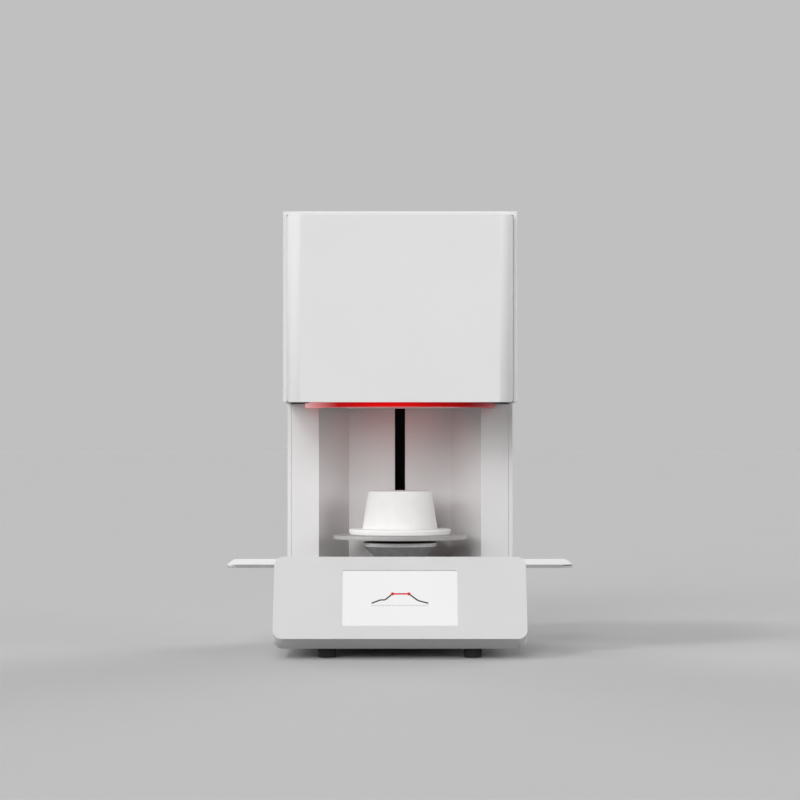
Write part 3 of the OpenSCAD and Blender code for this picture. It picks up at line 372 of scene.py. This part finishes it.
def pressed_fibre(name, colour, depth):
    """Vacuum-formed ceramic fibre: matt, faintly mottled, with short strands in its skin."""
    paint = Paint(name, colour, roughness=0.82)
    strands = paint.noise(per_metre=700, detail=5, roughness=0.7, along=(1, 0.3, 1))
    mottle = paint.noise(per_metre=60, detail=4, roughness=0.6)
    paint.tint(paint.share(paint.calc("ADD", strands, mottle), SUMMED), darker=0.965, lighter=1.015)
    lumps = paint.bump(mottle, distance=depth, strength=0.4)
    paint.relief(strands, distance=depth / 2, strength=0.6, under=lumps)
    paint.set("Specular IOR Level", 0.25)
    return paint.material


def rubber(name, colour):
    """Black rubber with pale dust in places and a pebbled skin."""
    paint = Paint(name, colour, roughness=0.7)
    dust = paint.noise(per_metre=50, detail=4, roughness=0.65)
    paint.tint(paint.share(dust, (0.45, 0.8)), darker=1.0, lighter=2.2)
    paint.relief(paint.cells(1400), distance=40 * MICRON, strength=0.5)
    return paint.material


def board(name, colour):
    """Printed board: tracks under the solder resist."""
    paint = Paint(name, colour, roughness=0.35)
    inputs = {"Vector": paint.stretched((160, 160, 160)), "Scale": 1.0, "Mortar Size": 0.04}
    tracks = paint.node("ShaderNodeTexBrick", inputs=inputs).outputs["Fac"]
    paint.tint(tracks, darker=1.0, lighter=2.4)
    paint.relief(tracks, distance=30 * MICRON, strength=0.5)
    return paint.material


def winding(name, colour):
    """Enamelled wire on an upright core: fine turns that run up its side."""
    paint = Paint(name, colour, roughness=0.35, metallic=0.7)
    wires = paint.noise(per_metre=900, detail=3, roughness=0.6, along=(1, 1, 0.05))
    paint.tint(paint.share(wires), darker=0.55, lighter=1.2)
    paint.relief(wires, distance=200 * MICRON, strength=0.8)
    return paint.material


def lit_screen(name):
    """Bright display under touch glass, with the faintest unevenness in its light."""
    paint = Paint(name, grey(0.02), roughness=0.12)
    glow = paint.share(paint.noise(per_metre=14, detail=2))
    paint.link(paint.blend(glow, (0.845, 0.85, 0.85), grey(0.865)), "Emission Color")
    paint.set("Emission Strength", 0.96)
    paint.set("IOR", 1.5)
    return paint.material


def lit_ring(name):
    """Red diffuser glowing most left of the middle, with that lean painted light from the left lamps. Painted
    light also makes its left end milky and white-glowing and its right end paler, and a painted highlight runs
    along its lower rim.
    """
    # The red and its red glow are the diffuser's own; the milky ends, the white glow and the pink rim are painted
    # light
    red, painted_lit_milk, painted_rim_pink = (0.5, 0.006, 0.008), (0.62, 0.42, 0.44), (0.6, 0.14, 0.15)
    red_light, painted_white_glow = (1.0, 0.003, 0.005), (1.0, 0.42, 0.42)
    left_tip, left_start = -128 * MM, -85 * MM
    right_start, right_tip = 95 * MM, 130 * MM
    # The glow peaks left of the middle; that lean is painted light from the left lamps
    brightest, fade = -20 * MM, 125 * MM
    most, least, painted_left_glow_extra = 0.56, 0.06, 0.34
    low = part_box("status_light_ring")[0].z
    rim_low, rim_high = low + 0.4 * MM, low + 1.2 * MM
    paint = Paint(name, red, roughness=0.4)
    axes = paint.axes()
    # Painted light: the left end turns milky, and the right end a little, where lamplight falls on them
    painted_left_light = paint.span(axes["X"], left_tip, left_start, 1.0, 0.0)
    painted_right_light = paint.span(axes["X"], right_start, right_tip, 0.0, 0.35)
    body = paint.blend(paint.calc("ADD", painted_left_light, painted_right_light), red, painted_lit_milk)
    # Painted highlight: the lower rim paled towards pink
    painted_rim_highlight = paint.span(axes["Z"], rim_low, rim_high, 0.8, 0.0)
    paint.link(paint.blend(painted_rim_highlight, body, painted_rim_pink), "Base Color")
    off_lamp = paint.calc("ABSOLUTE", paint.calc("ADD", axes["X"], -brightest))
    core = paint.span(off_lamp, 0.0, fade, most, least)
    # Painted light: extra white glow at the left end, for the left lamps' light on it
    strength = paint.calc("ADD", core, paint.span(painted_left_light, 0.0, 1.0, 0.0, painted_left_glow_extra))
    cloud = paint.span(paint.noise(per_metre=30, detail=2), *SPREAD, 0.94, 1.06)
    paint.link(paint.calc("MULTIPLY", strength, cloud), "Emission Strength")
    paint.link(paint.blend(painted_left_light, red_light, painted_white_glow), "Emission Color")
    paint.set("Specular IOR Level", 0.15)
    return paint.material


def glowing_mark(name, colour):
    """One colour of the screen's own drawing."""
    paint = Paint(name, shade(colour, 0.05), roughness=0.12)
    flicker = paint.share(paint.noise(per_metre=300, detail=1))
    paint.link(paint.blend(flicker, shade(colour, 0.96), colour), "Emission Color")
    paint.set("Emission Strength", 1.0)
    return paint.material


SLOT_LOOKS = {
    "white_coat": powder_coat("white_coat", grey(0.705), roughness=0.42),
    "console_white": moulding("console_white", grey(0.58), roughness=0.36),
    "screen_glass": lit_screen("screen_glass"),
    "display_black": moulding("display_black", grey(0.02), roughness=0.5),
    "zinc_sheet": brushed("zinc_sheet", (0.6, 0.61, 0.62), roughness=0.38),
    "stainless": brushed("stainless", grey(0.78), roughness=0.22),
    "plate_steel": turned("plate_steel", (0.5, 0.495, 0.49), roughness=0.42),
    "ground_steel": brushed("ground_steel", (0.7, 0.7, 0.72), roughness=0.15, along=(1, 1, 0.02)),
    "screw_steel": cast_metal("screw_steel", (0.62, 0.62, 0.63), roughness=0.28),
    "rubber_black": rubber("rubber_black", grey(0.016)),
    "ring_red": lit_ring("ring_red"),
    "board_green": board("board_green", (0.02, 0.12, 0.045)),
    "fibre_white": pressed_fibre("fibre_white", (0.8, 0.79, 0.75), depth=500 * MICRON),
    "plug_white": pressed_fibre("plug_white", (0.82, 0.82, 0.815), depth=200 * MICRON),
    "element_dark": cast_metal("element_dark", (0.09, 0.085, 0.08), roughness=0.45, metallic=0.2),
    "sheath_ceramic": pressed_fibre("sheath_ceramic", (0.78, 0.74, 0.66), depth=100 * MICRON),
    "bare_aluminium": cast_metal("bare_aluminium", (0.66, 0.67, 0.68), roughness=0.36),
    "black_anodised": cast_metal("black_anodised", grey(0.4), roughness=0.38),
    "black_coat": powder_coat("black_coat", grey(0.006), roughness=0.62, gloss=0.12),
    "bronze": cast_metal("bronze", (0.55, 0.37, 0.17), roughness=0.3),
    "copper": winding("copper", (0.6, 0.28, 0.13)),
    "black_plastic": moulding("black_plastic", (0.02, 0.02, 0.022), roughness=0.45, grain=1400),
}

# Nodes that look different from the rest of their slot
NODE_LOOKS = {
    "base_shell": powder_coat("base_coat", grey(0.64), roughness=0.42),
    "alcove_liner": powder_coat("liner_coat", grey(0.69), roughness=0.46),
    # The lift head's pale rim is a painted highlight and its dark cone is painted shade
    "lift_head": dish_with_painted_light("dish_metal_painted_light", painted_rim_highlight=grey(0.78), painted_shaded_cone=grey(0.33), roughness=0.34),
}

# How far the edges of a node are eased, in millimetres, where it isn't the common amount
EASED = {
    "front_fascia": 1.5,
    "base_shell": 0.7,
    "outer_wrap": 0.3,
    "front_cover": 0.7,
    "alcove_liner": 0.3,
    "rear_cover": 0.3,
    "left_shelf": 0.5,
    "right_shelf": 0.5,
    "carrier_plate": 0.3,
    "insulating_plug": 0.4,
    "lift_arm": 0.8,
    "lift_carriage": 0.8,
    "switch_rocker": 0.5,
    "status_light_ring": 0.3,
}
COMMON_EASE = 0.25


def ease_edges(piece, width):
    """Rounds a piece's sharp edges with modifiers, and leaves its mesh alone."""
    weld = piece.modifiers.new("weld", "WELD")
    weld.merge_threshold = WELD
    flat = piece.modifiers.new("flat", "DECIMATE")
    flat.decimate_type = "DISSOLVE"
    flat.angle_limit = FLAT_ANGLE
    bevel = piece.modifiers.new("ease", "BEVEL")
    bevel.width = width * MM
    bevel.segments = EASE_SEGMENTS
    bevel.limit_method = "ANGLE"
    bevel.angle_limit = EDGE_ANGLE
    bevel.harden_normals = True
    bevel.use_clamp_overlap = True


def dress_nodes():
    """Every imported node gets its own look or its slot's, and eased edges."""
    slots = {part["node"]: part["material_slot"] for part in frame["record"]["subparts"]}
    for name, node in NODES.items():
        node.data.materials.clear()
        node.data.materials.append(NODE_LOOKS.get(name, SLOT_LOOKS[slots[name]]))
        ease_edges(node, EASED.get(name, COMMON_EASE))


def make_camera():
    """The photograph's camera, level from side to side."""
    data = bpy.data.cameras.new("camera")
    data.sensor_width = SENSOR
    data.lens = FOCAL_PIXELS / PICTURE * SENSOR
    camera = bpy.data.objects.new("camera", data)
    bpy.context.scene.collection.objects.link(camera)
    camera.location = (0, -CAMERA_BACK, CAMERA_HEIGHT)
    rise = math.atan((HORIZON_ROW - PICTURE / 2) / FOCAL_PIXELS)
    camera.rotation_euler = (math.radians(90) + rise, 0, 0)
    bpy.context.scene.camera = camera


def aim(lamp, towards):
    """Turns a lamp the given way and puts it in the scene."""
    lamp.rotation_euler = towards.to_track_quat("-Z", "Y").to_euler()
    bpy.context.scene.collection.objects.link(lamp)


def far_light(name, azimuth, elevation, width, level):
    """A soft lamp far off, which lights surfaces but isn't mirrored in them."""
    data = bpy.data.lights.new(name, "SUN")
    data.angle = math.radians(width)
    data.energy = level * math.pi
    a, e = math.radians(azimuth), math.radians(elevation)
    lamp = bpy.data.objects.new(name, data)
    way = Vector((math.sin(a) * math.cos(e), -math.cos(a) * math.cos(e), math.sin(e)))
    lamp.location = way * LAMP_DISTANCE
    lamp.visible_glossy = False
    aim(lamp, -way)


def glow_light(name, place, target, size, level, colour):
    """A small flat lamp that lights a sheet facing it, at the target, to the given level."""
    data = bpy.data.lights.new(name, "AREA")
    data.shape = "RECTANGLE"
    data.size, data.size_y = size
    data.energy = level * math.pi * (place - target).length ** 2 * math.pi
    data.color = colour
    lamp = bpy.data.objects.new(name, data)
    lamp.location = place
    lamp.visible_camera = False
    aim(lamp, target - place)


def make_lights():
    """A key from the upper left, low soft boxes all round, and the ring's own glow."""
    for name, (azimuth, elevation, width, level) in FAR_LAMPS.items():
        far_light(name, azimuth, elevation, width, level)
    ring_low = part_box("status_light_ring")[0].z
    collar_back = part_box("mouth_collar")[1].y
    under = Vector((0, collar_back - GLOW_INSET * MM, ring_low - GLOW_UNDER * MM))
    spot = under + Vector((0, GLOW_REACH * MM, -GLOW_DROP * MM))
    glow_light("ring_glow", under, spot, GLOW_SIZE, GLOW_LEVEL, GLOW_COLOUR)


def make_world():
    """A grey room, lighter behind. Metal and glass mirror it bright on the left and dark on the right."""
    world = bpy.data.worlds.new("studio")
    world.use_nodes = True
    world.node_tree.nodes.clear()
    room = Nodes(world.node_tree)
    rays = room.node("ShaderNodeLightPath").outputs
    way = room.node("ShaderNodeTexCoord").outputs["Generated"]

    def graded(towards, facing, dark, bright):
        """A level that rises with how far a ray points towards the given way."""
        dot = room.node("ShaderNodeVectorMath", {"operation": "DOT_PRODUCT"}, {0: way, 1: towards})
        return room.span(dot.outputs["Value"], *facing, dark, bright)

    def light(strength):
        inputs = {"Color": WHITE, "Strength": strength}
        return room.node("ShaderNodeBackground", inputs=inputs).outputs[0]

    def either(share, first, second):
        return room.node("ShaderNodeMixShader", inputs={0: share, 1: first, 2: second}).outputs[0]

    ambient = light(graded(AMBIENT_WAY, AMBIENT_SPAN, AMBIENT_LEVEL, AMBIENT_BEHIND))
    mirrored = light(graded(MIRROR_WAY, MIRROR_SPAN, MIRROR_DARK, MIRROR_BRIGHT))
    seen = room.calc("MAXIMUM", rays["Is Camera Ray"], rays["Is Transmission Ray"])
    lit = either(rays["Is Glossy Ray"], ambient, mirrored)
    room.node("ShaderNodeOutputWorld", inputs={"Surface": either(seen, lit, light(BACKGROUND))})
    bpy.context.scene.world = world


def make_floor():
    """A wide pale floor that throws only part of its light back up at the object."""
    mesh = bpy.data.meshes.new("floor")
    form = bmesh.new()
    bmesh.ops.create_circle(form, cap_ends=True, radius=FLOOR_RADIUS, segments=FLOOR_SIDES)
    form.to_mesh(mesh)
    form.free()
    floor = bpy.data.objects.new("floor", mesh)
    bpy.context.scene.collection.objects.link(floor)
    tone = grey(FLOOR_COLOUR)
    paint = Paint("floor", tone, roughness=1.0)
    mottle = paint.share(paint.noise(per_metre=3, detail=3))
    shown = paint.blend(mottle, shade(tone, 0.995), shade(tone, 1.005))
    rays = paint.node("ShaderNodeLightPath").outputs
    paint.link(paint.blend(rays["Is Diffuse Ray"], shown, grey(FLOOR_BOUNCE)), "Base Color")
    paint.set("Specular IOR Level", 0.0)
    mesh.materials.append(paint.material)


def set_view():
    """Colours are shown as they are written."""
    bpy.context.scene.view_settings.view_transform = "Standard"


def solid_piece(name, form, look, body="furnace"):
    """Makes a piece of its own from a form, on a body and with the given look."""
    bmesh.ops.recalc_face_normals(form, faces=form.faces)
    mesh = bpy.data.meshes.new(name)
    form.to_mesh(mesh)
    form.free()
    piece = bpy.data.objects.new(name, mesh)
    bpy.context.scene.collection.objects.link(piece)
    mesh.materials.append(look)
    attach(piece, body)


def glass_point(x, up, out):
    """A place on the touch glass: x to the side, up along the glass from its lower edge, out of it."""
    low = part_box("touch_screen")[0]
    base = Vector((0, low.y, low.z + GLASS_THICKNESS * MM * math.sin(CONSOLE_TILT)))
    along = Vector((0, math.sin(CONSOLE_TILT), math.cos(CONSOLE_TILT)))
    normal = Vector((0, -math.cos(CONSOLE_TILT), math.sin(CONSOLE_TILT)))
    return base + Vector((x * MM, 0, 0)) + along * (up * MM) + normal * (out * MM)


def rocker_point(x, up, out):
    """A place on the rocker's faces: x to the side, up from the line where they meet, out of them."""
    pivot = next(joint["pos_m"] for joint in frame["joints"] if joint["name"] == "switch_tilt")
    slope = math.atan2(ROCKER_RISE, ROCKER_REACH) * (1 if up >= 0 else -1)
    away = ROCKER_VALLEY + abs(up) * math.sin(abs(slope)) + out * math.cos(slope)
    high = up * math.cos(slope) - out * math.sin(slope)
    turned_away = away * math.cos(ROCKER_TILT) + high * math.sin(ROCKER_TILT)
    turned_high = high * math.cos(ROCKER_TILT) - away * math.sin(ROCKER_TILT)
    return Vector(pivot) + Vector((x, turned_away, turned_high)) * MM


def drawn(name, outlines, look, out, place=glass_point, body="furnace"):
    """Flat marks from outlines in millimetres on the surface that the place function gives."""
    form = bmesh.new()
    for outline in outlines:
        top = [form.verts.new(place(x, y, out)) for x, y in outline]
        bottom = [form.verts.new(place(x, y, MARK_FOOT)) for x, y in outline]
        form.faces.new(top)
        count = len(outline)
        for i in range(count):
            j = (i + 1) % count
            form.faces.new((top[i], bottom[i], bottom[j], top[j]))
    solid_piece(name, form, look, body)


def stroke(points, width):
    """Outline of a line of even width with square ends through the points."""
    left, right = [], []
    for i, here in enumerate(points):
        before = Vector(points[max(i - 1, 0)])
        after = Vector(points[min(i + 1, len(points) - 1)])
        way = (after - before).normalized()
        side = Vector((-way.y, way.x)) * width / 2
        left.append(tuple(Vector(here) + side))
        right.append(tuple(Vector(here) - side))
    return left + right[::-1]


def circle(x, y, radius, steps):
    """Points round a circle, from its right side back to there."""
    turns = [2 * math.pi * i / steps for i in range(steps + 1)]
    return [(x + radius * math.cos(t), y + radius * math.sin(t)) for t in turns]


def disc(x, y, radius, steps=20):
    """Outline of a round dot."""
    return circle(x, y, radius, steps)[:-1]


def smooth_line(corners, radius, steps=5):
    """The corners joined up, each inner one rounded with a short curve."""
    line = [Vector(corners[0])]
    for before, here, after in zip(corners, corners[1:], corners[2:]):
        here = Vector(here)
        start = here + (Vector(before) - here).normalized() * radius
        end = here + (Vector(after) - here).normalized() * radius
        for i in range(steps + 1):
            t = i / steps
            line.append(start * (1 - t) ** 2 + here * 2 * t * (1 - t) + end * t ** 2)
    line.append(Vector(corners[-1]))
    return [tuple(point) for point in line]


def draw_screen():
    """A plain firing curve in the middle of the lit screen: rise and fall in grey, the hold in red."""
    low, high = CURVE_MIDDLE - CURVE_HALF_HEIGHT, CURVE_MIDDLE + CURVE_HALF_HEIGHT
    half = CURVE_HALF_WIDTH
    dark_grey = glowing_mark("mark_grey", (0.045, 0.045, 0.05))
    pale_grey = glowing_mark("mark_pale", (0.45, 0.45, 0.46))
    red = glowing_mark("mark_red", (0.62, 0.012, 0.02))
    steps = [(x, low + up) for x, up in (FIRST_STEP, SECOND_STEP)]
    rise = smooth_line([(-half, low), *steps, (HOLD_START, high)], RISE_ROUNDING)
    cooling = (COOLING_STEP[0], low + COOLING_STEP[1])
    fall = smooth_line([(HOLD_END, high), cooling, (half, low)], FALL_ROUNDING)
    drawn("screen_curve", [stroke(rise, CURVE_LINE), stroke(fall, CURVE_LINE)], dark_grey, CURVE_OUT)
    hold = stroke([(HOLD_START, high), (HOLD_END, high)], HOLD_LINE)
    dots = [disc(x, high, HOLD_DOT) for x in (HOLD_START, HOLD_END)]
    drawn("screen_hold", [hold, *dots], red, HOLD_OUT)
    end, level = half + SCALE_OVERHANG, low - SCALE_DROP
    scale = stroke([(-end, level), (end, level)], SCALE_LINE)
    places = range(-half, half + 1, TICK_STEP)
    ticks = [stroke([(x, low - TICK_TOP), (x, low - TICK_FOOT)], TICK_LINE) for x in places]
    drawn("screen_scale", [scale, *ticks], pale_grey, SCALE_OUT)


def mark_rocker():
    """The usual line for on and circle for off, moulded in white."""
    white = moulding("mark_white", grey(0.8), roughness=0.4)
    on = stroke([(0, ON_FROM), (0, ON_TO)], ON_LINE)
    off = stroke(circle(0, OFF_MIDDLE, OFF_RADIUS, steps=24), OFF_LINE)
    drawn("rocker_marks", [on, off], white, ROCKER_OUT, rocker_point, "rocker")


def add_blade(form, low, high, lead):
    """A flat contact blade from low to high, with its rear end drawn in on all sides by the lead."""
    rings = [(low.y, 0.0), (high.y - 2 * lead, 0.0), (high.y, lead)]
    loops = []
    for y, inset in rings:
        x0, x1, z0, z1 = low.x + inset, high.x - inset, low.z + inset, high.z - inset
        loops.append([form.verts.new((x, y, z)) for x, z in ((x0, z0), (x1, z0), (x1, z1), (x0, z1))])
    for before, after in zip(loops, loops[1:]):
        for i in range(4):
            j = (i + 1) % 4
            form.faces.new((before[i], before[j], after[j], after[i]))
    form.faces.new(loops[0][::-1])
    form.faces.new(loops[-1])


def plate_inlet_contacts():
    """Nickel sleeves over the inlet's three contacts."""
    low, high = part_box("power_inlet")
    middle = (low + high) / 2
    form = bmesh.new()
    for x, z, width, height in SLEEVES:
        centre = Vector((middle.x + x * MM, 0, middle.z + z * MM))
        half = Vector((width / 2 * MM, 0, height / 2 * MM))
        start, end = centre - half, centre + half
        start.y = high.y - SLEEVE_FOOT * MM
        end.y = high.y - SLEEVE_TIP * MM
        add_blade(form, start, end, SLEEVE_LEAD * MM)
    nickel = cast_metal("contact_nickel", (0.66, 0.64, 0.6), roughness=0.25)
    solid_piece("inlet_contacts", form, nickel)


make_camera()
make_world()
make_lights()
make_floor()
set_view()
dress_nodes()
draw_screen()
mark_rocker()
plate_inlet_contacts()
